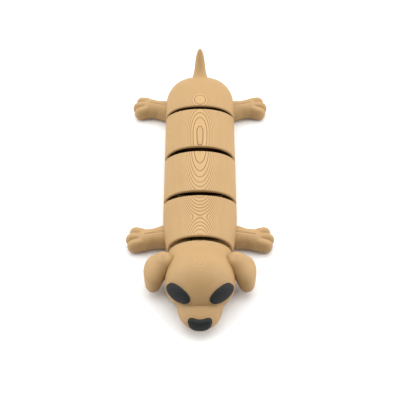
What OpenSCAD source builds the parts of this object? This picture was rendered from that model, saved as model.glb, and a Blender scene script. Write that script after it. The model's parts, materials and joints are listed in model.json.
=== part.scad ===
// Articulated lying puppy: five hollow-fronted segments joined by swivel links and cross pins.
// Origin: middle of the footprint, on the surface the toy lies on. The head looks along -Y.

/* [Body] */
// Length from the tip of the nose to the tip of the tail
total_length = 144.6; // [130:0.2:160]
// Distances between the joint gaps: neck to shoulder, shoulder to waist, waist to hip
segment_pitch = [23.45, 24.15, 25.9]; // [22:0.05:27]
// Distance from the tip of the nose to the middle of the neck gap
head_length = 36.8; // [35:0.1:40]
// Width of the body over its flanks
body_w = 30.6; // [28:0.2:34]
// Height of the back at its highest
back_h = 15.5; // [14.5:0.1:17]
// How far the back dips over the front segment
back_dip = 1.6; // [0:0.05:2]
// Height of the flanks' widest line
flank_h = 8; // [7:0.1:9]
// Width of the body at the neck gap
neck_w = 26.8; // [25:0.2:29]
// Length of the rounded rump, behind the straight part of the rear segment
rump_l = 17.7; // [15:0.1:20]

/* [Gaps] */
// Gap between two segments at the flanks
gap_side = 1.1; // [0.8:0.05:1.3]
// Gaps at the top of the back: neck, shoulder, waist, hip
gap_top = [2.3, 2.6, 2.9, 2.3]; // [2.2:0.1:4]
// Rounding of each front rim
rim_r = 0.5; // [0.3:0.1:1.4]
// Wall of the upper part of each socket
wall = 0.8; // [0.8:0.1:2]
// Depth of each front socket
socket_l = 8; // [7.5:0.5:11]

/* [Joint parts] */
// Height of the joint axes
axis_h = 6.8; // [6.4:0.1:7.4]
// Radius of the swivel link's shaft
shaft_r = 2.1; // [1.8:0.1:2.6]
// Radius of the swivel link's flange
flange_r = 3.8; // [3.2:0.1:4.1]
// Radius of the swivel link's eye
eye_r = 2.7; // [2.4:0.1:3]
// Width of the eye along the pin
eye_w = 6.4; // [5:0.1:8]
// Radius of the cross pin
pin_r = 1.3; // [1:0.1:1.5]
// Length of the cross pin
pin_l = 16; // [14:0.5:18]
// Radial clearance of each running fit
running = 0.08; // [0.04:0.01:0.1]
// Free space between parts that pass each other
clear = 0.3; // [0.25:0.05:0.4]

/* [Head] */
// Width of the head
head_w = 28; // [26:0.2:30]
// Height of the head
head_h = 21.4; // [20:0.2:23]
// Width of the snout where it leaves the forehead
snout_w = 18.2; // [15:0.2:20]
// Height of the snout
snout_h = 11.2; // [10:0.1:12.5]

/* [Legs] */
// Width over the paws
paw_span = 61.6; // [58:0.2:66]
// Height of a leg
leg_h = 7.7; // [6.5:0.1:8.2]
// Width of a leg where it leaves the body
leg_w = 11; // [9:0.2:12]
// Width of a leg at its narrowest
shin_w = 8; // [7:0.1:9]

/* [Colours] */
// Tan parts
tan_c = "burlywood";
// Eyes and nose
dark_c = "dimgray";

/* [Hidden] */
$fn = 48;
SIDES = 48;                  // points round a lofted section
EPS = 0.01;
function mix(a, b, t) = a + (b - a) * t;
nose_y = -total_length / 2;
neck_y = nose_y + head_length;
function gap_y(i) = i > 0 ? gap_y(i - 1) + segment_pitch[i - 1] : neck_y;    // middle of gap i, neck = 0
taper_l = 18.5;                                       // length of the neck taper
flank_low = 1.25;                                    // depth of the lower flank curve, by flank height
fit = 0.05;                                          // space round a glued-in tenon or peg
pin_back = 3;                                        // pin axis behind the front rim at the flanks
link_wall = 3;                                       // wall between a rear face and its flange chamber
flange_t = 2;
straight_rear = 9.2;                                 // straight part of the rear segment
rump_y = gap_y(3) + straight_rear;
rump_full = 0.72;                                    // below 1 the rump is blunter than an ellipsoid

// Half width, back height and flank height along the body, y from nose to tail
function taper(y) = pow(1 - min(max(y - neck_y, 0) / taper_l, 1), 2);
function half_w(y) = body_w / 2 - (body_w - neck_w) / 2 * taper(y);
function flank(y) = flank_h - 1.8 * taper(y);

// Height of the back: highest over the third segment, lowest behind the neck, where it rises again
crest_y = neck_y + 56.5;
saddle_y = neck_y + 11.5;
function soft(d, r) = (d + sqrt(d * d + r * r)) / 2;
function back(y) = back_h - back_dip * pow(max(crest_y - y, 0) / (crest_y - saddle_y), 2.4)
    - 0.0014 * pow(max(y - crest_y, 0), 2) + 0.1 * back_dip * soft(saddle_y - y, 1.5);

// One section as [x, z] points: an elliptic back over a fuller flank, flat underneath
function section(hw, top, wide, low) = [for (i = [0:SIDES - 1])
    let (t = 360 * i / SIDES, s = sin(t))
    [hw * cos(t), s >= 0 ? wide + (top - wide) * s : max(0, wide + low * s)]];

// Solid through rings of SIDES points; each end cap is split along its widest line
// A bowed first cap is a ladder of level strips instead, from side to side.
FLAT_FROM = 8;               // first point after the widest line that lies on the flat underside
module loft(rings, bowed = false) {
    m = len(rings);
    half = SIDES / 2;
    sides = [for (i = [0:m - 2], j = [0:SIDES - 1])
        let (k = (j + 1) % SIDES)
        each [[i * SIDES + j, i * SIDES + k, (i + 1) * SIDES + k],
              [i * SIDES + j, (i + 1) * SIDES + k, (i + 1) * SIDES + j]]];
    last = (m - 1) * SIDES;
    ladder = [for (j = [0:half / 2 - 2]) [half - j, half - j - 1, j + 1, j],
              [half / 2 + 1, half / 2, half / 2 - 1],
              for (j = [0:FLAT_FROM - 2]) [(SIDES - j) % SIDES, SIDES - j - 1, half + j + 1, half + j],
              [for (j = [SIDES - FLAT_FROM + 1:-1:half + FLAT_FROM - 1]) j]];
    halves = [[for (j = [half:-1:0]) j], [0, for (j = [SIDES - 1:-1:half]) j]];
    end = [[for (j = [0:half]) last + j], [for (j = [half:SIDES - 1]) last + j, last]];
    polyhedron(points = [for (r = rings) each r], faces = concat(sides, bowed ? ladder : halves, end));
}

// Both faces of a gap lean towards the tail above the flanks, and the front face of the piece behind it
// also bows back, so that the gap opens from gap_side at the flanks to gap_top at the back and the belly
lean = 0.08;
function rear_face(i, z) = lean * max(z - flank(gap_y(i)), 0) - gap_side / 2;
function front_face(i, z) =
    let (f = flank(gap_y(i)), h = min(z > f ? (z - f) / (back(gap_y(i)) - f) : (f - z) / f, 1))
    gap_side + rear_face(i, z) + (gap_top[i] - gap_side) * (1 - pow(1 - h, 2));

// Ring of the body segment behind gap i, u from 0 at its front face to 1 at its rear face
function body_ring(i, u, inset) =
    let (y = mix(gap_y(i) + gap_side / 2, gap_y(i + 1) - gap_side / 2, u), wide = flank(y))
    [for (p = section(half_w(y) - inset, back(y) - inset, wide, flank_low * wide))
        [p[0], mix(gap_y(i) + front_face(i, p[1]), gap_y(i + 1) + rear_face(i + 1, p[1]), u), p[1]]];

// Outer shape between gap i and gap i + 1
module body_shell(i, grow = 0) {
    l = segment_pitch[i] - gap_side;
    rim = [for (a = [90:-30:0]) [rim_r * (1 - sin(a)) / l, rim_r * (1 - cos(a))]];
    rest = [for (u = [0.15:0.17:1]) [u, 0]];
    loft([for (s = concat(rim, rest, [[1, 0]])) body_ring(i, s[0], s[1] - grow)], bowed = true);
}

// Barrel and domed rump behind gap 3; its back peaks and starts to fall before the flanks close in
fall_y = rump_y - 5;
peak_y = rump_y - 3.6;
rump_end = rump_y + rump_l;
function crest(y) = (back(gap_y(3)) - flank_h - 0.006 * pow(max(peak_y - y, 0), 2))
    * pow(1 - pow(max(y - fall_y, 0) / (rump_end - fall_y), 2), 0.34);
module rear_shell(grow = 0) {
    y0 = gap_y(3) + gap_side / 2;
    rim = [for (a = [90:-30:0]) [rim_r * (1 - sin(a)), rim_r * (1 - cos(a))]];
    barrel = [for (s = concat(rim, [for (d = [2.4, 4.5, 6.2, 7.1]) [d, 0]]))
        let (y = y0 + s[0])
        [for (p = section(body_w / 2 - s[1] + grow, flank_h + crest(y) - s[1] + grow,
                flank_h, flank_low * flank_h))
            [p[0], y + (front_face(3, p[1]) - gap_side / 2) * (1 - s[0] / (rump_y - y0)), p[1]]]];
    dome = [for (a = [0:8:88])
        let (c = pow(cos(a), rump_full), wide = flank_h * (0.8 + 0.2 * c), y = rump_y + rump_l * sin(a))
        [for (p = section((body_w / 2 + grow) * c, wide + crest(y) + grow * c,
                wide, flank_low * flank_h * c))
            [p[0], y, p[1]]]];
    loft(concat(barrel, dome), bowed = true);
}

// Tapered tail that rises behind the rump
tail_tip = [total_length / 2, 20];
module tail() {
    y0 = rump_y + rump_l - 5;
    rise = tail_tip[1] - 8.6;
    loft([for (u = [0, 0.12, 0.25, 0.4, 0.55, 0.7, 0.82, 0.91, 0.96, 0.985])
        let (y = y0 + (tail_tip[0] - y0) * (u + 0.04 * sin(180 * u)), z = 8.6 + rise * pow(u, 1.6),
            lean = atan(1.35 * rise * u / (tail_tip[0] - y0)),
            r = (3.5 - 1.7 * u) * sqrt(1 - pow(u, 8)), flare = 2 * exp(-pow(u / 0.24, 2)))
        [for (j = [0:SIDES - 1])
            let (t = 360 * j / SIDES)
            [(r + flare) * cos(t), y - r * 0.9 * sin(t) * sin(lean), z + r * 0.9 * sin(t) * cos(lean)]]]);
}

// Hollow that opens at the front rim of the piece behind gap i
roof_drop = 1.1;                                     // thickness over the hollow at the back
low_half_w = 9.5;                                    // half width of the hollow beside the pin bosses
floor_z = 1.8;                                       // thickness under the hollow
ahead = 4;                                           // how far the cutting shape reaches past the rim
module socket(i) {
    y0 = gap_y(i);
    hw = half_w(y0) - wall;
    wide = flank(y0);
    rise = back(y0) - wide - wall;
    roof = back(y0) - roof_drop;
    sill = max(wide, axis_h) + 1.6;
    a0 = asin((sill - wide) / rise);
    upper = [for (t = [a0:(180 - 2 * a0) / 24:180 - a0 + EPS])
        [hw * cos(t), min(roof, wide + rise * sin(t))]];
    l = ahead + gap_side / 2 + socket_l;
    translate([0, y0 - ahead + l, 0]) rotate([90, 0, 0]) linear_extrude(l) polygon(upper);
    translate([-low_half_w, y0 - ahead, floor_z]) cube([2 * low_half_w, l, sill + 1 - floor_z]);
}

// Cylinder along X, centred
module x_rod(r, l, y, z) translate([0, y, z]) rotate([0, 90, 0]) cylinder(r = r, h = l, center = true);

// Cylinder along +Y from y
module y_rod(r, l, y) translate([0, y, axis_h]) rotate([-90, 0, 0]) cylinder(r = r, h = l);

function pin_y(i) = gap_y(i) + gap_side / 2 + pin_back;
boss_r = 2.5;

// The two bosses that hold the cross pin behind gap i
module bosses(i) {
    inner = eye_w / 2 + clear;
    outer = half_w(gap_y(i)) - 0.8;
    for (s = [-1, 1])
        translate([s * (inner + outer) / 2, 0, 0]) x_rod(boss_r, outer - inner, pin_y(i), axis_h);
}
module pin_bore(i) x_rod(pin_r + fit, pin_l + 0.4, pin_y(i), axis_h);

// Flange chamber and shaft bore in the rear face in front of gap i
module swivel_bore(i) {
    face = gap_y(i) - gap_side / 2;
    y_rod(shaft_r + running, link_wall + 3, face - link_wall - EPS);
    y_rod(flange_r + clear, flange_t + 2 * clear, face - link_wall - flange_t - 2 * clear);
}

// Legs: middle of the root along the body, and the mortise that holds it
front_leg_y = gap_y(0) + 10.8;
rear_leg_y = gap_y(3) + 9.5;
tenon = [3.2, 5, 4.6];                               // into the body, along it, up
tenon_z = 1.2;
module tenon_block(y, s, extra) {
    l = tenon[0] + 2 + extra;
    translate([s * (body_w / 2 - tenon[0] - extra + l / 2), y, tenon_z + tenon[2] / 2])
        cube([l, tenon[1] + 2 * extra, tenon[2] + 2 * extra], center = true);
}

module segment(i) {
    difference() {
        union() {
            difference() {
                body_shell(i);
                socket(i);
            }
            bosses(i);
        }
        pin_bore(i);
        swivel_bore(i + 1);
        if (i == 0) for (s = [-1, 1]) tenon_block(front_leg_y, s, fit);
    }
}
module front_segment() color(tan_c) segment(0);
module second_segment() color(tan_c) segment(1);
module third_segment() color(tan_c) segment(2);
module rear_segment() color(tan_c) difference() {
    union() {
        difference() {
            rear_shell();
            socket(3);
        }
        tail();
        bosses(3);
    }
    pin_bore(3);
    for (s = [-1, 1]) tenon_block(rear_leg_y, s, fit);
}

// Swivel link across gap i: flange, shaft and eye
module link(i) color(tan_c) {
    face = gap_y(i) - gap_side / 2;
    flange_y = face - link_wall - clear - flange_t;
    difference() {
        union() {
            y_rod(flange_r, flange_t, flange_y);
            y_rod(shaft_r, pin_y(i) - flange_y, flange_y);
            x_rod(eye_r, eye_w, pin_y(i), axis_h);
        }
        x_rod(pin_r + running, eye_w + 2, pin_y(i), axis_h);
    }
}
module neck_link() link(0);
module shoulder_link() link(1);
module waist_link() link(2);
module hip_link() link(3);

module cross_pin(i) color(tan_c) x_rod(pin_r, pin_l, pin_y(i), axis_h);
module neck_pin() cross_pin(0);
module shoulder_pin() cross_pin(1);
module waist_pin() cross_pin(2);
module hip_pin() cross_pin(3);

// Ball of radii r at p
module ball(p, r) translate(p) scale(r) sphere(1, $fn = 24);

// Slice of a leg with rounded corners: half width w, top height h
edge_r = 2;
module leg_slice(x, y, w, h)
    for (dy = [edge_r - w, w - edge_r], z = [edge_r, h - edge_r])
        ball([x, y + dy, z], [edge_r, edge_r, edge_r]);

// Three toes: back from the tip to the middle of the toe, and its place along the paw
toes = [[3.7, -3.1], [2.9, 0.4], [4.3, 3.7]];
toe_back = 7.6;                                      // from the tip to the hidden end of the toes
palm_back = 8.3;                                     // from the tip to the middle of the palm

// Leg from root y, sweeping along the body by shin and paw, less the body itself
module leg(y, shin, paw) color(tan_c) {
    tip = paw_span / 2;
    knee_x = body_w / 2 + 4;
    difference() {
        intersection() {
            union() {
                hull() {
                    leg_slice(body_w / 2 - 3, y, leg_w / 2, leg_h);
                    leg_slice(knee_x, y + shin, shin_w / 2, leg_h);
                }
                hull() {
                    leg_slice(knee_x, y + shin, shin_w / 2, leg_h);
                    ball([tip - palm_back, y + paw, 3.4], [3.4, 4.5, leg_h - 3.4]);
                }
                for (t = toes) hull() {
                    ball([tip - toe_back, y + paw + 0.7 * t[1], 3.4], [2.4, 2, 3.9]);
                    ball([tip - t[0], y + paw + t[1], 3], [2.9, 2.3, 3.4]);
                }
            }
            translate([0, y - 20, 0]) cube([40, 40, 20]);
        }
        if (y < 0) body_shell(0, fit);
        else rear_shell(fit);
    }
    tenon_block(y, 1, 0);
}
module front_leg() leg(front_leg_y, -1.5, -2.2);
module rear_leg() leg(rear_leg_y, 1.5, 2.4);
module front_leg_left() front_leg();
module front_leg_right() mirror([1, 0, 0]) front_leg();
module rear_leg_left() rear_leg();
module rear_leg_right() mirror([1, 0, 0]) rear_leg();

// Head: neck, rounded skull and snout
skull_y = neck_y - 16.4;                             // middle of the skull
skull_z = 7.3;
skull_l = 13.2;                                      // from the middle of the skull to its front
face_taper = 1.25;                                   // above 1 the face is more pointed than an ellipsoid
module skull(grow = 0) {
    y1 = neck_y - gap_side / 2;
    nape = [for (u = [0:0.125:0.99])
        let (e = sin(90 * (1 - u)), y = mix(y1, skull_y, u), w = flank(neck_y))
        [for (p = section(mix(head_w, neck_w - 1, e * e * e) / 2 + grow,
                mix(head_h, back(neck_y) - 0.2, pow(e, 1.7)) + grow, mix(skull_z, w, e), flank_low * 8))
            [p[0], y + (rear_face(0, p[1]) + gap_side / 2) * (1 - u), p[1]]]];
    face = [for (a = [0:8.6:86])
        let (c = cos(a))
        [for (p = section((head_w / 2 + grow) * pow(c, face_taper), skull_z + (head_h - skull_z + grow) * c,
                skull_z, 9 * c))
            [p[0], skull_y - (skull_l + grow) * sin(a), p[1]]]];
    rings = concat(nape, face);
    loft([for (i = [len(rings) - 1:-1:0]) rings[i]]);
}
module snout() {
    y0 = skull_y - skull_l + 5;
    l = y0 - nose_y - 0.9;
    loft([for (a = [88, 82, 74, 64, 52, 40, 28, 14, 0])
        let (c = pow(cos(a), 0.8), wide = mix(5.6, 5, c))
        section_at(y0 - l * sin(a), snout_w / 2 * c, mix(wide, snout_h, c), wide, 4.7 * c)]);
}
function section_at(y, hw, top, wide, low) = [for (p = section(hw, top, wide, low)) [p[0], y, p[1]]];

// Domed plug, round at the top: z from -deep to high on the outline of half axes a and b. A bean above 0
// gives a squarer outline, wider at its upper edge, with a dent there.
function outline(t, a, b, bean) =
    let (p = bean > 0 ? 0.8 : 1, c = sign(cos(t)) * pow(abs(cos(t)), p),
        s = sign(sin(t)) * pow(abs(sin(t)), p))
    [a * c * (bean > 0 ? 1 + 0.16 * s : 1), b * s * (s > 0 ? 1 - bean * exp(-pow(c / 0.6, 2)) : 1)];
module plug(a, b, deep, high, bean, grow) {
    profile = concat([[high, 0.1]], [for (q = [72:-18:18]) [high * sin(q), cos(q)]],
        [[0, 1], [-deep - grow, 1]]);
    loft([for (p = profile) [for (j = [0:SIDES - 1])
        let (o = outline(360 * j / SIDES, a + grow, b + grow, bean)) [o[0] * p[1], o[1] * p[1], p[0]]]]);
}

// Eyes: how far round the face to the front, round the section, and where they look
eye_front = 40;
eye_round = 30;
eye_turn = 38;
eye_tilt = 22;
function face_point(a, t) = [head_w / 2 * pow(cos(a), face_taper) * cos(t), skull_y - skull_l * sin(a),
    skull_z + (head_h - skull_z) * cos(a) * sin(t)];
module at_eye(s) let (p = face_point(eye_front, eye_round))
    translate([s * p[0], p[1], p[2]]) rotate([0, 0, s * eye_turn]) rotate([90 - eye_tilt, 0, 0])
        translate([0, 0, -0.2]) children();
module eye_shape(grow) plug(5.7, 3.5, 1.6, 1.5, 0, grow);
module at_nose() translate([0, nose_y + 2, 6.9]) rotate([66, 0, 0]) children();
module nose_shape(grow) plug(4.6, 3.1, 2, 1.8, 0.3, grow);

// Ear petal on the side s of the head, held by a round peg
module ear_petal(s) hull() {
    translate([s * 14.5, neck_y - 8.5, 11.8]) scale([4, 4.3, 3.3]) sphere(1, $fn = 28);
    translate([s * 18, neck_y - 10.6, 8.2]) scale([4.6, 7.2, 4]) sphere(1, $fn = 28);
    translate([s * 18.7, neck_y - 13.7, 5.1]) scale([3.4, 4.8, 3.6]) sphere(1, $fn = 28);
}
module ear_peg(s, grow)
    translate([s * 8.6, neck_y - 9.3, 11]) rotate([0, s * 90, 0]) cylinder(r = 1.4 + grow, h = 6);
module ear(s) color(tan_c) union() {
    difference() {
        ear_petal(s);
        skull(fit);
    }
    ear_peg(s, 0);
}
module ear_left() ear(1);
module ear_right() ear(-1);
module head() color(tan_c) difference() {
    union() {
        skull();
        snout();
    }
    swivel_bore(0);
    for (s = [-1, 1]) {
        at_eye(s) eye_shape(fit);
        ear_peg(s, fit);
    }
    at_nose() nose_shape(fit);
}
module eye_left() color(dark_c) at_eye(1) eye_shape(0);
module eye_right() color(dark_c) at_eye(-1) eye_shape(0);
module nose() color(dark_c) at_nose() nose_shape(0);

head();
ear_left();
ear_right();
eye_left();
eye_right();
nose();
front_segment();
second_segment();
third_segment();
rear_segment();
front_leg_left();
front_leg_right();
rear_leg_left();
rear_leg_right();
neck_link();
shoulder_link();
waist_link();
hip_link();
neck_pin();
shoulder_pin();
waist_pin();
hip_pin();
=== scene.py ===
"""Studio picture and visual model of the articulated lying puppy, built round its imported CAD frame."""
import json
import math

import bmesh
import bpy
from mathutils import Matrix, Vector


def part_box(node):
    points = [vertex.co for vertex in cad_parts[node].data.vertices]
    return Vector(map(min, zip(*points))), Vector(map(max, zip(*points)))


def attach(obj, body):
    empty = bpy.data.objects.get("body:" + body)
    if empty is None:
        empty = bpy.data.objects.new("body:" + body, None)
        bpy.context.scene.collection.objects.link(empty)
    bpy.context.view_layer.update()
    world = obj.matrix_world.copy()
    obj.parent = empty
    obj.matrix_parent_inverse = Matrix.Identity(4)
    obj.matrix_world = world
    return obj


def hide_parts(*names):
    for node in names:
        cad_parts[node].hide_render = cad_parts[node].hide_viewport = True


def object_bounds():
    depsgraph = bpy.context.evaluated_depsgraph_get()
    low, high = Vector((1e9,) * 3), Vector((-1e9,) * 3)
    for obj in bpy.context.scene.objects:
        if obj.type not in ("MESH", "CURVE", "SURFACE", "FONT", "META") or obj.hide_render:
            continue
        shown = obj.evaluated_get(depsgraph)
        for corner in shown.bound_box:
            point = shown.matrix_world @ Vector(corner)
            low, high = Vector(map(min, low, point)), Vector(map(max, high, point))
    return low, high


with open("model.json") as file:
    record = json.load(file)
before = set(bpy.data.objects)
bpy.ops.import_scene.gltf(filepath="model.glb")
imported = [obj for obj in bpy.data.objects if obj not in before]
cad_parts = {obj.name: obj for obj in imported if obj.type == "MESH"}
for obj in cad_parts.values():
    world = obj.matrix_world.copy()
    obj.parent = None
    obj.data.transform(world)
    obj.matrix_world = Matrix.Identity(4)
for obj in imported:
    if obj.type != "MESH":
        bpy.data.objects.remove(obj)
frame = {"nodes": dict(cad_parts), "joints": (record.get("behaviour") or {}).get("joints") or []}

CAD_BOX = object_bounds()
MM = 0.001
JOINTS = {j["name"]: j for j in frame["joints"]}

# ---------------------------------------------------------------- driving dimensions, in metres

GAP_NAMES = ["neck", "shoulder", "waist", "hip"]
GAP_Y = [JOINTS[n + "_twist"]["pos_m"][1] for n in GAP_NAMES]
PIN_Y = [JOINTS[n + "_bend"]["pos_m"][1] for n in GAP_NAMES]
AXIS_Z = JOINTS["neck_twist"]["pos_m"][2]
TAPER_L = 18.5 * MM        # behind the neck gap, where the body widens
NOSE_Y = CAD_BOX[0][1]
TAIL_Y = CAD_BOX[1][1]
PAW_X = 30.8 * MM          # from the middle to the tip of the longest toe
HALF_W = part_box("second_segment")[1].x
NECK_HALF_W = HALF_W - 1.9 * MM
BACK_H = 15.5 * MM
BACK_DIP = 1.6 * MM        # how much lower the saddle behind the neck is
BACK_DIP_POWER = 2.4
BACK_FALL = 0.0014         # how fast the back falls behind its crest
FLANK_H = 8.0 * MM         # height at which the body is widest
FLANK_DROP = 1.8 * MM      # how much lower that is at the neck gap
FLANK_LOW = 1.25           # depth of the curve below it, by its height
HEAD_HALF_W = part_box("head")[1].x
HEAD_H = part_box("head")[1].z
GAP_SIDE = 1.1 * MM        # width of a gap at the flanks
GAP_TOP = [2.3 * MM, 2.6 * MM, 2.9 * MM, 2.3 * MM]
LEAN = 0.08                # how far the gaps lean back, by height
WALL = 0.8 * MM            # beside a hollow
ROOF = 0.8 * MM            # over a hollow
SOCKET_L = 8 * MM          # depth of a hollow
LAYER = 0.12 * MM          # height of a printed layer


def mix(a, b, t):
    return a + (b - a) * t


def taper(y):
    """1 at the neck gap, falling to 0 where the body reaches its full width."""
    return (1 - min(max(y - GAP_Y[0], 0) / TAPER_L, 1)) ** 2


def half_w(y):
    """Half width of the body."""
    return HALF_W - (HALF_W - NECK_HALF_W) * taper(y)


def flank(y):
    """Height at which the body is widest."""
    return FLANK_H - FLANK_DROP * taper(y)


CREST_Y = GAP_Y[0] + 56.5 * MM
SADDLE_Y = GAP_Y[0] + 11.5 * MM


def soft(d, r):
    """d where it is well above 0, easing to 0 below."""
    return (d + math.sqrt(d * d + r * r)) / 2


def back(y):
    """Height of the back: highest over the third segment, lowest behind the neck."""
    fall = BACK_DIP * (max(CREST_Y - y, 0) / (CREST_Y - SADDLE_Y)) ** BACK_DIP_POWER
    fall += BACK_FALL * max(y - CREST_Y, 0) ** 2 / MM
    return BACK_H - fall + 0.1 * (BACK_DIP / MM) * soft(SADDLE_Y - y, 1.5 * MM)


def rear_face(i, z):
    """Where the face in front of gap i lies at height z, from the middle of the gap."""
    return LEAN * max(z - flank(GAP_Y[i]), 0) - GAP_SIDE / 2


def front_face(i, z):
    """The face behind gap i bows back, so that the gap opens from the flanks to the back and the belly."""
    f = flank(GAP_Y[i])
    h = min((z - f) / (back(GAP_Y[i]) - f) if z > f else (f - z) / f, 1)
    return GAP_SIDE + rear_face(i, z) + (GAP_TOP[i] - GAP_SIDE) * (1 - (1 - h) ** 2)


# ---------------------------------------------------------------- materials

def new_material(name):
    """Empty material with one shader."""
    mat = bpy.data.materials.new(name)
    mat.use_nodes = True
    nodes = mat.node_tree.nodes
    nodes.clear()
    out = nodes.new("ShaderNodeOutputMaterial")
    shader = nodes.new("ShaderNodeBsdfPrincipled")
    mat.node_tree.links.new(shader.outputs["BSDF"], out.inputs["Surface"])
    return mat, shader


def node(mat, kind, inputs=(), **settings):
    """Adds a node, sets its properties and fills its inputs with values or sockets."""
    made = mat.node_tree.nodes.new(kind)
    for key, value in settings.items():
        setattr(made, key, value)
    for key, value in dict(inputs).items():
        if isinstance(value, bpy.types.NodeSocket):
            mat.node_tree.links.new(value, made.inputs[key])
        else:
            made.inputs[key].default_value = value
    return made


def maths(mat, operation, a, b=0.0, c=0.0, clamp=False):
    return node(mat, "ShaderNodeMath", {0: a, 1: b, 2: c}, operation=operation, use_clamp=clamp).outputs[0]


def printed_plastic(name, colour, groove_shade_and_mottle, line, roughness, groove_shade_strength, ior=1.46):
    """Matte printed plastic: horizontal layers show as contour lines on shallow slopes; the lines are
    painted shade, coloured darker in the grooves between layers, over a random tone by layer and patch.
    """
    mat, shader = new_material(name)
    place = node(mat, "ShaderNodeTexCoord").outputs["Object"]
    wobble = node(mat, "ShaderNodeTexNoise", {"Vector": place, "Scale": 260.0, "Detail": 2.0}).outputs["Fac"]
    z = node(mat, "ShaderNodeSeparateXYZ", {"Vector": place}).outputs["Z"]
    layers = maths(mat, "DIVIDE", maths(mat, "MULTIPLY_ADD", wobble, 0.12 * LAYER, z), LAYER)
    # distance to the nearest layer edge, in layers
    from_middle = maths(mat, "ABSOLUTE", maths(mat, "SUBTRACT", maths(mat, "FRACT", layers), 0.5))
    edge = maths(mat, "SUBTRACT", 0.5, from_middle)
    normal = node(mat, "ShaderNodeNewGeometry").outputs["Normal"]
    normal_z = node(mat, "ShaderNodeSeparateXYZ", {"Vector": normal}).outputs["Z"]
    up = maths(mat, "MAXIMUM", maths(mat, "ABSOLUTE", normal_z), 0.02)
    side = maths(mat, "SQRT", maths(mat, "SUBTRACT", 1.0, maths(mat, "MULTIPLY", up, up), clamp=True))
    # a line of fixed width covers more of a layer the steeper the surface is
    width = maths(mat, "MULTIPLY", maths(mat, "DIVIDE", side, up), line / LAYER)
    width = maths(mat, "MINIMUM", maths(mat, "MAXIMUM", width, 0.02), 0.5)
    groove = maths(mat, "SUBTRACT", 1.0, maths(mat, "DIVIDE", edge, width), clamp=True)
    # painted shade: the grooves between layers are coloured darker and the spaces between them lighter, so
    # the mean tone stays
    groove_shade = maths(mat, "SUBTRACT", groove, width)
    layer_number = maths(mat, "FLOOR", layers)
    tone = node(mat, "ShaderNodeTexWhiteNoise", {"W": layer_number}, noise_dimensions="1D").outputs["Value"]
    patches = node(mat, "ShaderNodeTexNoise", {"Vector": place, "Scale": 90.0, "Detail": 3.0}).outputs["Fac"]
    mottle = maths(mat, "MULTIPLY_ADD", tone, 0.10, maths(mat, "MULTIPLY", patches, 0.16))
    shade = maths(mat, "MULTIPLY_ADD", groove_shade, groove_shade_strength, mottle, clamp=True)
    tint = node(mat, "ShaderNodeMix", {"Factor": shade}, data_type="RGBA")
    tint.inputs[6].default_value = (*colour, 1)
    tint.inputs[7].default_value = (*groove_shade_and_mottle, 1)
    mat.node_tree.links.new(tint.outputs[2], shader.inputs["Base Color"])
    grain = node(mat, "ShaderNodeTexNoise", {"Vector": place, "Scale": 2500.0, "Detail": 2.0}).outputs["Fac"]
    relief = maths(mat, "MULTIPLY_ADD", grain, 0.25, maths(mat, "MULTIPLY", groove, -1.0))
    bump = node(mat, "ShaderNodeBump", {"Height": relief, "Strength": 0.3, "Distance": 0.03 * MM})
    mat.node_tree.links.new(bump.outputs["Normal"], shader.inputs["Normal"])
    rough = node(mat, "ShaderNodeMapRange", {"Value": patches, "From Min": 0.3, "From Max": 0.7,
                                             "To Min": roughness - 0.06, "To Max": roughness + 0.06})
    mat.node_tree.links.new(rough.outputs["Result"], shader.inputs["Roughness"])
    shader.inputs["IOR"].default_value = ior
    return mat


# each second colour is where painted shade in the layer grooves and random mottle take the first
TAN = (0.455, 0.288, 0.123)
TAN_GROOVE_SHADE_AND_MOTTLE = (0.15, 0.07, 0.02)
CHARCOAL = (0.012, 0.013, 0.0135)
CHARCOAL_GROOVE_SHADE_AND_MOTTLE = (0.006, 0.0065, 0.007)
# painted shade: the inside of a hollow is the same tan plastic as the shell, coloured much darker to stand
# in for the deep shade there
HOLLOW_PAINTED_SHADE_TAN = (0.09, 0.045, 0.018)
HOLLOW_PAINTED_SHADE_GROOVES_AND_MOTTLE = (0.035, 0.016, 0.006)

SHELL = printed_plastic("tan_print", TAN, TAN_GROOVE_SHADE_AND_MOTTLE, 0.32 * MM, 0.6, 1.2)
HOLLOW_PAINTED_SHADE = printed_plastic("tan_print_inside", HOLLOW_PAINTED_SHADE_TAN, HOLLOW_PAINTED_SHADE_GROOVES_AND_MOTTLE, 0.3 * MM, 0.8, 0.9)
JOINT = printed_plastic("tan_print_joint", TAN, TAN_GROOVE_SHADE_AND_MOTTLE, 0.12 * MM, 0.5, 0.5)
INSERT = printed_plastic("charcoal_print", CHARCOAL, CHARCOAL_GROOVE_SHADE_AND_MOTTLE, 0.08 * MM, 0.6, 0.3, ior=1.34)


# ---------------------------------------------------------------- mesh helpers

def mesh_object(name, verts, faces):
    """Object in the scene, with its faces turned outwards."""
    mesh = bpy.data.meshes.new(name)
    mesh.from_pydata([tuple(v) for v in verts], [], faces)
    bm = bmesh.new()
    bm.from_mesh(mesh)
    bmesh.ops.recalc_face_normals(bm, faces=bm.faces)
    bm.to_mesh(mesh)
    bm.free()
    obj = bpy.data.objects.new(name, mesh)
    bpy.context.scene.collection.objects.link(obj)
    return obj


def loft(name, rings, halves=True, bowed=False):
    """Closed solid through rings of equal length; each cap is split along its widest line.

    A bowed first cap is a ladder of level strips from side to side instead.
    """
    n, m = len(rings[0]), len(rings)
    verts = [p for r in rings for p in r]
    faces = [(i * n + j, i * n + (j + 1) % n, (i + 1) * n + (j + 1) % n, (i + 1) * n + j)
             for i in range(m - 1) for j in range(n)]
    for base in (0, (m - 1) * n):
        if bowed and base == 0:
            faces += ladder(rings[0])
        elif halves:
            faces.append([base + j for j in range(n // 2 + 1)])
            faces.append([base + j for j in range(n // 2, n)] + [base])
        else:
            faces.append([base + j for j in range(n)])
    return mesh_object(name, verts, faces)


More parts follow.
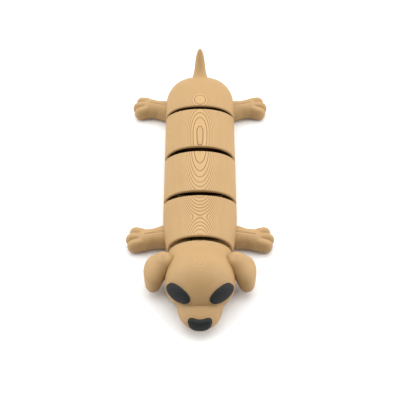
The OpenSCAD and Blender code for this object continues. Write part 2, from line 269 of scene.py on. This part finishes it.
def ladder(ring):
    """Faces of a cap whose points pair up at equal heights; the flat underside is the last strip."""
    n = len(ring)
    half = n // 2
    faces = [(j, j + 1, half - j - 1, half - j) for j in range(half // 2 - 1)]
    faces.append((half // 2 - 1, half // 2, half // 2 + 1))
    flat = next(j for j in range(half // 2) if ring[half + j].z <= 0)
    faces += [(half + j, half + j + 1, n - j - 1, (n - j) % n) for j in range(flat - 1)]
    faces.append(tuple(range(half + flat - 1, n - flat + 2)))
    return faces


def boolean(obj, cutters, operation):
    """Applies exact booleans and removes the cutters."""
    for cutter in cutters:
        mod = obj.modifiers.new("cut", "BOOLEAN")
        mod.operation = operation
        mod.solver = "EXACT"
        mod.material_mode = "TRANSFER"
        mod.object = cutter
    apply_modifiers(obj)
    for cutter in cutters:
        bpy.data.objects.remove(cutter)
    return obj


def apply_modifiers(obj):
    """Replaces the mesh by its modified one."""
    graph = bpy.context.evaluated_depsgraph_get()
    mesh = bpy.data.meshes.new_from_object(obj.evaluated_get(graph))
    obj.modifiers.clear()
    obj.data = mesh


def paint(obj, material):
    """Gives the object one material and returns the object."""
    obj.data.materials.clear()
    obj.data.materials.append(material)
    return obj


def smooth(obj, angle=35):
    """Smooth shading, with edges sharper than angle left crisp."""
    obj.data.shade_smooth()
    obj.data.set_sharp_from_angle(angle=math.radians(angle))
    return obj


def rod(name, radius, length, centre, direction, sides=64):
    """Round bar with its middle at centre."""
    turn = Vector((0, 0, 1)).rotation_difference(Vector(direction)).to_matrix()
    angles = [2 * math.pi * j / sides for j in range(sides)]
    circle = [(radius * math.cos(t), radius * math.sin(t)) for t in angles]
    rings = [[Vector(centre) + turn @ Vector((x, y, z)) for x, y in circle]
             for z in (-length / 2, length / 2)]
    return loft(name, rings, halves=False)


def block(name, low, high):
    """Box cutter between two corners."""
    x, y, z = zip(low, high)
    verts = [(x[a], y[b], z[c]) for a in (0, 1) for b in (0, 1) for c in (0, 1)]
    faces = [(0, 1, 3, 2), (4, 6, 7, 5), (0, 4, 5, 1), (2, 3, 7, 6), (0, 2, 6, 4), (1, 5, 7, 3)]
    return mesh_object(name, verts, faces)


# ---------------------------------------------------------------- body segments

SIDES = 144


def section(hw, top, wide, low):
    """Elliptic back over a fuller flank with a flat underside, as (x, z) pairs."""
    out = []
    for j in range(SIDES):
        t = 2 * math.pi * j / SIDES
        s = math.sin(t)
        out.append((hw * math.cos(t), wide + (top - wide) * s if s >= 0 else max(0.0, wide + low * s)))
    return out


def body_ring(i, u, inset):
    """Ring of the segment behind gap i, u from 0 at its front face to 1 at its rear face."""
    y = mix(GAP_Y[i] + GAP_SIDE / 2, GAP_Y[i + 1] - GAP_SIDE / 2, u)
    wide = flank(y)
    return [Vector((x, mix(GAP_Y[i] + front_face(i, z), GAP_Y[i + 1] + rear_face(i + 1, z), u), z))
            for x, z in section(half_w(y) - inset, back(y) - inset, wide, FLANK_LOW * wide)]


def rim_steps(radius, span, turns=8):
    """(u, inset) pairs that round a front rim."""
    return [(radius * (1 - math.sin(a)) / span, radius * (1 - math.cos(a)))
            for a in (math.radians(90 * (1 - k / turns)) for k in range(turns + 1))]


FRONT_RIM = 0.5 * MM
REAR_RIM = 0.22 * MM
AHEAD = 4 * MM             # how far a cutter reaches past the face that it opens
SILL_UP = 1.6 * MM         # from the joint axis to the step where the hollow widens
ROOF_BLEND = 0.35 * MM     # softness of the arch's meeting with its level roof
LOW_HALF_W = 9.5 * MM      # half width of the hollow beside the pin bosses
FLOOR_T = 1.8 * MM         # thickness under the hollow
BOSS_R = 2.5 * MM
BOSS_INNER = 3.5 * MM      # from the middle to a boss
BOSS_SKIN = 0.8 * MM       # from a boss to the flank
PIN_BORE_R = 1.35 * MM
PIN_BORE_L = 16.4 * MM
SHAFT_BORE_R = 2.18 * MM
SHAFT_BORE_L = 8 * MM
CHAMBER_R = 4.1 * MM
CHAMBER_L = 2.6 * MM
LINK_WALL = 3 * MM         # wall between a rear face and its flange chamber


def socket_cutters(i):
    """Hollow behind the front rim of the piece behind gap i."""
    y0 = GAP_Y[i]
    hw = half_w(y0) - WALL
    wide = flank(y0)
    rise = back(y0) - wide - WALL
    roof = back(y0) - ROOF
    sill = max(wide, AXIS_Z) + SILL_UP
    a0 = math.asin((sill - wide) / rise)
    arc = []
    for k in range(61):
        t = mix(a0, math.pi - a0, k / 60)
        z = wide + rise * math.sin(t)
        arc.append((hw * math.cos(t), roof - soft(roof - z, ROOF_BLEND)))
    end = y0 + GAP_SIDE / 2 + SOCKET_L
    rings = [[Vector((x, y, z)) for x, z in arc] for y in (y0 - AHEAD - 0.5 * MM, end)]
    upper = loft("cut_upper", rings, halves=False)
    lower = block("cut_lower", (-LOW_HALF_W, y0 - AHEAD, FLOOR_T), (LOW_HALF_W, end, sill + 1 * MM))
    return [upper, lower]


def bosses(i):
    """The two bosses that hold the cross pin behind gap i."""
    outer = half_w(GAP_Y[i]) - BOSS_SKIN
    middle = (BOSS_INNER + outer) / 2
    return [rod("boss", BOSS_R, outer - BOSS_INNER, (s * middle, PIN_Y[i], AXIS_Z), (1, 0, 0))
            for s in (-1, 1)]


def pin_cutter(i):
    """Bore of the cross pin behind gap i."""
    return rod("cut_pin", PIN_BORE_R, PIN_BORE_L, (0, PIN_Y[i], AXIS_Z), (1, 0, 0))


def swivel_cutters(i):
    """Shaft bore and flange chamber in the rear face in front of gap i."""
    face = GAP_Y[i] - GAP_SIDE / 2
    chamber_y = face - LINK_WALL - CHAMBER_L / 2
    return [rod("cut_shaft", SHAFT_BORE_R, SHAFT_BORE_L, (0, face, AXIS_Z), (0, 1, 0)),
            rod("cut_chamber", CHAMBER_R, CHAMBER_L, (0, chamber_y, AXIS_Z), (0, 1, 0))]


def body_segment(name, i):
    """Hollow-fronted barrel between gap i and gap i + 1."""
    span = GAP_Y[i + 1] - GAP_Y[i] - GAP_SIDE
    steps = rim_steps(FRONT_RIM, span)
    steps += [(mix(0.08, 0.96, k / 30), 0.0) for k in range(31)]
    steps += [(1 - u, d) for u, d in reversed(rim_steps(REAR_RIM, span, 3))]
    shell = paint(loft(name, [body_ring(i, u, d) for u, d in steps], bowed=True), SHELL)
    # the faces that the hollow cuts take the painted shade material
    boolean(shell, [paint(c, HOLLOW_PAINTED_SHADE) for c in socket_cutters(i)], "DIFFERENCE")
    boolean(shell, bosses(i), "UNION")
    boolean(shell, swivel_cutters(i + 1) + [pin_cutter(i)], "DIFFERENCE")
    return smooth(shell)


RUMP_Y = GAP_Y[3] + 9.2 * MM
RUMP_L = 17.7 * MM
FALL_Y = RUMP_Y - 5 * MM   # where the back starts to round down to the tail
PEAK_Y = RUMP_Y - 3.6 * MM
PEAK_RISE = 0.006          # how fast the back rises from the hip gap to its peak
FALL_POWER = 0.34
RUMP_END = RUMP_Y + RUMP_L
RUMP_FULL = 0.72           # below 1 the rump is blunter than an ellipsoid
TURNS = 48                 # steps along a domed end
LAST_TURN = 89             # degrees at which a dome closes, short of a point


def crest(y):
    """Height of the rear piece's back above its flanks."""
    level = back(GAP_Y[3]) - FLANK_H - PEAK_RISE * max(PEAK_Y - y, 0) ** 2 / MM
    return level * (1 - (max(y - FALL_Y, 0) / (RUMP_END - FALL_Y)) ** 2) ** FALL_POWER


def rear_body(name):
    """Barrel and domed rump behind the hip gap, with the tail."""
    y0 = GAP_Y[3] + GAP_SIDE / 2
    steps = [(u * (RUMP_Y - y0), d) for u, d in rim_steps(FRONT_RIM, RUMP_Y - y0)]
    steps += [(mix(1.4 * MM, RUMP_Y - y0 - 0.5 * MM, k / 12), 0.0) for k in range(13)]
    rings = []
    for along, inset in steps:
        y = y0 + along
        bow = 1 - along / (RUMP_Y - y0)
        ring = section(HALF_W - inset, FLANK_H + crest(y) - inset, FLANK_H, FLANK_LOW * FLANK_H)
        rings.append([Vector((x, y + (front_face(3, z) - GAP_SIDE / 2) * bow, z)) for x, z in ring])
    for k in range(TURNS + 1):
        a = math.radians(LAST_TURN * k / TURNS)
        c = math.cos(a) ** RUMP_FULL
        y = RUMP_Y + RUMP_L * math.sin(a)
        wide = FLANK_H * (0.8 + 0.2 * c)
        ring = section(HALF_W * c, wide + crest(y), wide, FLANK_LOW * FLANK_H * c)
        rings.append([Vector((x, y, z)) for x, z in ring])
    shell = paint(loft(name, rings, bowed=True), SHELL)
    # the faces that the hollow cuts take the painted shade material
    boolean(shell, [paint(c, HOLLOW_PAINTED_SHADE) for c in socket_cutters(3)], "DIFFERENCE")
    boolean(shell, bosses(3) + [tail()], "UNION")
    boolean(shell, [pin_cutter(3)], "DIFFERENCE")
    return smooth(shell)


def tail():
    """Tapered tail that flares sideways into the rump and rises to its tip."""
    y0 = RUMP_END - 5 * MM
    z0 = 8.6 * MM
    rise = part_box("rear_segment")[1].z - z0 - 0.1 * MM
    run = TAIL_Y - y0
    rings = []
    for k in range(41):
        u = min(0.998, math.sin(math.pi / 2 * k / 40))
        y = y0 + run * (u + 0.04 * math.sin(math.pi * u))
        z = z0 + rise * u ** 1.6
        lean = math.atan(1.35 * rise * u / run)
        r = (3.5 - 1.7 * u) * MM * math.sqrt(1 - u ** 8)
        flare = 2 * MM * math.exp(-(u / 0.24) ** 2)
        ring = []
        for j in range(64):
            t = 2 * math.pi * j / 64
            x = (r + flare) * math.cos(t)
            up = 0.9 * r * math.sin(t)
            ring.append(Vector((x, y - up * math.sin(lean), z + up * math.cos(lean))))
        rings.append(ring)
    return loft("tail", rings)


# ---------------------------------------------------------------- head

SKULL_Y = GAP_Y[0] - 16.4 * MM
SKULL_Z = 7.3 * MM
SKULL_L = 13.2 * MM
SKULL_RINGS = 30
NECK_LOW = 10 * MM         # depth of the lower curve behind the eyes
FACE_LOW = 9 * MM
FACE_TAPER = 1.25          # above 1 the face is more pointed than an ellipsoid
SNOUT_HALF_W = 9.1 * MM
SNOUT_H = 11.2 * MM


def skull(name):
    """Neck and rounded skull, from the neck gap to the front of the face."""
    y1 = GAP_Y[0] - GAP_SIDE / 2
    low_wide = flank(GAP_Y[0])
    rings = []
    steps = rim_steps(REAR_RIM, y1 - SKULL_Y, 3)
    steps += [(k / SKULL_RINGS, 0.0) for k in range(1, SKULL_RINGS)]
    for u, inset in steps:
        e = math.sin(math.pi / 2 * (1 - u))
        y = mix(y1, SKULL_Y, u)
        hw = mix(HEAD_HALF_W, NECK_HALF_W - 0.5 * MM, e ** 3) - inset
        top = mix(HEAD_H, back(GAP_Y[0]) - 0.2 * MM, e ** 1.7) - inset
        ring = section(hw, top, mix(SKULL_Z, low_wide, e), NECK_LOW)
        rings.append([Vector((x, y + (rear_face(0, z) + GAP_SIDE / 2) * (1 - u), z)) for x, z in ring])
    for k in range(TURNS + 1):
        a = math.radians(LAST_TURN * k / TURNS)
        c = math.cos(a)
        top = SKULL_Z + (HEAD_H - SKULL_Z) * c
        ring = section(HEAD_HALF_W * c ** FACE_TAPER, top, SKULL_Z, FACE_LOW * c)
        rings.append([Vector((x, SKULL_Y - SKULL_L * math.sin(a), z)) for x, z in ring])
    return loft(name, rings)


def snout():
    """Broad muzzle that carries the nose."""
    y0 = SKULL_Y - SKULL_L + 5 * MM
    length = y0 - NOSE_Y - 0.9 * MM
    rings = []
    for k in range(41):
        a = math.radians(LAST_TURN * (1 - k / 40))
        c = math.cos(a) ** 0.8
        wide = mix(5.6, 5, c) * MM
        ring = section(SNOUT_HALF_W * c, mix(wide, SNOUT_H, c), wide, 4.7 * MM * c)
        rings.append([Vector((x, y0 - length * math.sin(a), z)) for x, z in ring])
    return loft("snout", rings)


def outline(t, a, b, bean):
    """Point of a plug's outline: an ellipse, or squarer with a dent in its wider upper edge."""
    c, q = math.cos(t), math.sin(t)
    if not bean:
        return a * c, b * q
    c = math.copysign(abs(c) ** 0.8, c)
    q = math.copysign(abs(q) ** 0.8, q)
    dent = 1 - bean * math.exp(-(c / 0.6) ** 2) if q > 0 else 1
    return a * c * (1 + 0.16 * q), b * q * dent


def plug(name, a, b, deep, high, bean, place):
    """Domed insert on an outline; place maps it onto the head."""
    sides, turns = 128, 24
    profile = [(-deep, 1.0), (0.0, 1.0)]
    dome = [math.pi / 2 * k / turns for k in range(1, turns)]
    profile += [(high * math.sin(q), math.cos(q)) for q in dome]
    profile.append((high, 0.03))
    rings = []
    for z, f in profile:
        ring = []
        for j in range(sides):
            x, y = outline(2 * math.pi * j / sides, a, b, bean)
            ring.append(place @ Vector((x * f, y * f, z)))
        rings.append(ring)
    return loft(name, rings)


EYE_FRONT = math.radians(40)    # how far round the face to the front
EYE_ROUND = math.radians(30)    # how far up the section
EYE_TURN = math.radians(38)
EYE_TIP = math.radians(68)
NOSE_TIP = math.radians(66)


def eye_place(s):
    """Puts an eye flat on the face, on the side s."""
    x = s * HEAD_HALF_W * math.cos(EYE_FRONT) ** FACE_TAPER * math.cos(EYE_ROUND)
    y = SKULL_Y - SKULL_L * math.sin(EYE_FRONT)
    z = SKULL_Z + (HEAD_H - SKULL_Z) * math.cos(EYE_FRONT) * math.sin(EYE_ROUND)
    return (Matrix.Translation((x, y, z)) @ Matrix.Rotation(s * EYE_TURN, 4, "Z")
            @ Matrix.Rotation(EYE_TIP, 4, "X") @ Matrix.Translation((0, 0, -0.2 * MM)))


def nose_place():
    """Puts the nose on the upper front of the muzzle."""
    return Matrix.Translation((0, NOSE_Y + 2 * MM, 6.9 * MM)) @ Matrix.Rotation(NOSE_TIP, 4, "X")


# ---------------------------------------------------------------- soft, rounded pieces: ears and legs

def ellipsoid(centre, radii, rings=24, sides=48):
    """Rings of points on an ellipsoid."""
    out = []
    for k in range(rings + 1):
        a = math.radians(mix(-89.9, 89.9, k / rings))
        wide_x, wide_y, up = radii[0] * math.cos(a), radii[1] * math.cos(a), radii[2] * math.sin(a)
        out.append([Vector(centre) + Vector((wide_x * math.cos(t), wide_y * math.sin(t), up))
                    for t in (2 * math.pi * j / sides for j in range(sides))])
    return out


def link_object(name, bm):
    """Turns a bmesh into an object in the scene and frees it."""
    mesh = bpy.data.meshes.new(name)
    bm.to_mesh(mesh)
    bm.free()
    obj = bpy.data.objects.new(name, mesh)
    bpy.context.scene.collection.objects.link(obj)
    return obj


def hull_object(name, point_lists):
    """Convex hull of several ellipsoids."""
    bm = bmesh.new()
    for points in point_lists:
        for ring in points:
            for p in ring:
                bm.verts.new(p)
    result = bmesh.ops.convex_hull(bm, input=bm.verts)
    loose = {g for g in result["geom_interior"] + result["geom_unused"] if isinstance(g, bmesh.types.BMVert)}
    bmesh.ops.delete(bm, geom=list(loose), context="VERTS")
    return link_object(name, bm)


def join(name, objects):
    """One object from several overlapping ones."""
    bm = bmesh.new()
    for o in objects:
        bm.from_mesh(o.data)
    for o in objects:
        bpy.data.objects.remove(o)
    return link_object(name, bm)


def soften(obj, voxel, rounds):
    """Voxel remesh and smoothing: joins overlapping solids into one softly blended skin."""
    remesh = obj.modifiers.new("remesh", "REMESH")
    remesh.mode = "VOXEL"
    remesh.voxel_size = voxel
    relax = obj.modifiers.new("relax", "SMOOTH")
    relax.factor = 0.5
    relax.iterations = rounds
    apply_modifiers(obj)
    return obj


def ear(name, s):
    """Puffy petal from its root high on the skull to its low front lobe."""
    root_y = GAP_Y[0]
    root = ellipsoid((s * 14.5 * MM, root_y - 8.5 * MM, 11.8 * MM), (4 * MM, 4.3 * MM, 3.3 * MM))
    petal = ellipsoid((s * 18 * MM, root_y - 10.6 * MM, 8.2 * MM), (4.6 * MM, 7.2 * MM, 4 * MM))
    lobe = ellipsoid((s * 18.7 * MM, root_y - 13.7 * MM, 5.1 * MM), (3.4 * MM, 4.8 * MM, 3.6 * MM))
    obj = hull_object(name, [root, petal, lobe])
    soften(obj, 0.3 * MM, 40)
    return smooth(obj, 60)


# legs, in millimetres: each toe's middle is so far back from the tip, and so far along the paw
TOES = [(3.7, -3.1), (2.9, 0.4), (4.3, 3.7)]
TOE_BACK = 6.8             # from the tip to the hidden end of the toes
PALM_BACK = 7.9
LEG_H = 7.7
ROOT_HALF_W = 5.5
SHIN_HALF_W = 4
EDGE_R = 2.0


def leg(name, y, shin, paw, s):
    """Leg from its root at y, which sweeps along the body by shin and then paw, and ends in three toes."""
    tip = PAW_X / MM
    root = HALF_W / MM - 3
    knee = HALF_W / MM + 4

    def ball(x, dy, z, radii):
        return ellipsoid((x * MM, y + dy * MM, z * MM), [r * MM for r in radii], rings=16, sides=32)

    def slice_at(x, dy, half):
        """Domed on top, full underneath."""
        low_z = 1.3 * EDGE_R
        low = [ball(x, dy + k * (half - EDGE_R), low_z, (EDGE_R, EDGE_R, low_z)) for k in (-1, 1)]
        return low + [ball(x, dy, LEG_H / 2, (EDGE_R, half, LEG_H / 2))]

    narrow = slice_at(knee, shin, SHIN_HALF_W)
    palm = ball(tip - PALM_BACK, paw, 3.4, (3.4, 4.6, LEG_H - 3.4))
    solids = [hull_object("limb", slice_at(root, 0, ROOT_HALF_W) + narrow),
              hull_object("shin", narrow + [palm])]
    for back_by, along in TOES:
        hidden = ball(tip - TOE_BACK, paw + 0.75 * along, 3.2, (2.4, 2.2, 3.7))
        shown = ball(tip - back_by, paw + along, 3.0, (2.9, 2.3, 3.4))
        solids.append(hull_object("toe", [hidden, shown]))
    obj = join(name, solids)
    soften(obj, 0.18 * MM, 14)
    for v in obj.data.vertices:
        v.co.z = max(v.co.z, 0)
        v.co.x *= s
    if s < 0:
        obj.data.flip_normals()
    return smooth(obj, 60)


# ---------------------------------------------------------------- pieces

def finish_piece(obj, body, nodes, material):
    """Attaches a piece to its body, hides the CAD nodes that it stands for and gives it its material."""
    if material not in list(obj.data.materials):
        paint(obj, material)
    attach(obj, body)
    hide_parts(*nodes)


def build_pieces():
    """Puts the visual pieces over the shells, and paints the links and pins, which stay CAD."""
    for obj, body, name in ((body_segment("front_shell", 0), "front", "front_segment"),
                            (body_segment("second_shell", 1), "second", "second_segment"),
                            (body_segment("third_shell", 2), "third", "third_segment"),
                            (rear_body("rear_shell"), "rear", "rear_segment")):
        finish_piece(obj, body, [name], SHELL)
    head = skull("head_shell")
    boolean(head, [snout()], "UNION")
    boolean(head, swivel_cutters(0), "DIFFERENCE")
    finish_piece(smooth(head), "head", ["head"], SHELL)
    for side, s in (("left", 1), ("right", -1)):
        finish_piece(ear("ear_petal_" + side, s), "head", ["ear_" + side], SHELL)
        eye = plug("eye_dome_" + side, 5.7 * MM, 3.5 * MM, 1.6 * MM, 1.5 * MM, 0, eye_place(s))
        finish_piece(smooth(eye), "head", ["eye_" + side], INSERT)
        fore = leg("front_paw_" + side, GAP_Y[0] + 10.8 * MM, -1.5, -2.2, s)
        finish_piece(fore, "front", ["front_leg_" + side], SHELL)
        hind = leg("rear_paw_" + side, GAP_Y[3] + 9.5 * MM, 1.5, 2.4, s)
        finish_piece(hind, "rear", ["rear_leg_" + side], SHELL)
    nose = plug("nose_button", 4.6 * MM, 3.1 * MM, 2 * MM, 1.8 * MM, 0.3, nose_place())
    finish_piece(smooth(nose), "head", ["nose"], INSERT)
    for name, obj in frame["nodes"].items():
        if name.endswith(("_link", "_pin")):
            paint(obj, JOINT)


# ---------------------------------------------------------------- stage

CAMERA_RISE = 50.0
CAMERA_DISTANCE = 0.434
FOCAL_PIXELS = 1029.6
PICTURE_PIXELS = 400
SENSOR_MM = 36.0
LOOK_AT = Vector((0, -9.1 * MM, 8 * MM))


def make_camera():
    """Camera of the photograph: in front of the nose, looking down over the back."""
    data = bpy.data.cameras.new("camera")
    data.sensor_width = SENSOR_MM
    data.lens = FOCAL_PIXELS / PICTURE_PIXELS * SENSOR_MM
    data.clip_start = 0.01
    cam = bpy.data.objects.new("camera", data)
    bpy.context.scene.collection.objects.link(cam)
    rise = math.radians(CAMERA_RISE)
    cam.location = LOOK_AT + CAMERA_DISTANCE * Vector((0, -math.cos(rise), math.sin(rise)))
    cam.rotation_euler = (math.radians(90) - rise, 0, 0)
    bpy.context.scene.camera = cam


def area_light(name, size, watts, place, aim):
    """Softbox at place that shines towards aim."""
    data = bpy.data.lights.new(name, "AREA")
    data.shape = "RECTANGLE"
    data.size, data.size_y = size
    data.energy = watts
    obj = bpy.data.objects.new(name, data)
    obj.location = place
    obj.rotation_euler = (Vector(place) - Vector(aim)).to_track_quat("Z", "Y").to_euler()
    bpy.context.scene.collection.objects.link(obj)


def make_stage():
    """White floor, soft sky and three softboxes."""
    half = 2.0    # metres, half the width of the floor
    corners = [(-half, -half, 0), (half, -half, 0), (half, half, 0), (-half, half, 0)]
    floor = mesh_object("floor", corners, [(0, 1, 2, 3)])
    mat, shader = new_material("floor_white")
    shader.inputs["Base Color"].default_value = (0.86, 0.86, 0.86, 1)
    shader.inputs["Roughness"].default_value = 0.9
    shader.inputs["Specular IOR Level"].default_value = 0.1
    floor.data.materials.append(mat)
    world = bpy.data.worlds.new("world")
    world.use_nodes = True
    sky = world.node_tree.nodes["Background"]
    sky.inputs["Color"].default_value = (1, 1, 1, 1)
    # soft sky, brightest above and behind the toy and dim in front of it
    brightest = world.node_tree.nodes.new("ShaderNodeVectorMath")
    brightest.operation = "DOT_PRODUCT"
    brightest.inputs[1].default_value = (0, 0.6, 0.8)
    ramp = world.node_tree.nodes.new("ShaderNodeMapRange")
    ramp.inputs["From Min"].default_value = -0.6
    ramp.inputs["To Min"].default_value = 0.08
    ramp.inputs["To Max"].default_value = 0.8
    coords = world.node_tree.nodes.new("ShaderNodeTexCoord")
    world.node_tree.links.new(coords.outputs["Generated"], brightest.inputs[0])
    world.node_tree.links.new(brightest.outputs["Value"], ramp.inputs["Value"])
    world.node_tree.links.new(ramp.outputs["Result"], sky.inputs["Strength"])
    bpy.context.scene.world = world
    area_light("top_light", (1.3, 1.0), 8.6, (0, 0.35, 0.75), (0, 0, 0))
    area_light("left_light", (0.8, 0.6), 4.4, (-0.75, 0.05, 0.35), (0, 0, 0))
    area_light("right_light", (0.8, 0.6), 4.8, (0.75, 0.05, 0.35), (0, 0, 0))
    bpy.context.scene.view_settings.view_transform = "Standard"


make_camera()
make_stage()
build_pieces()
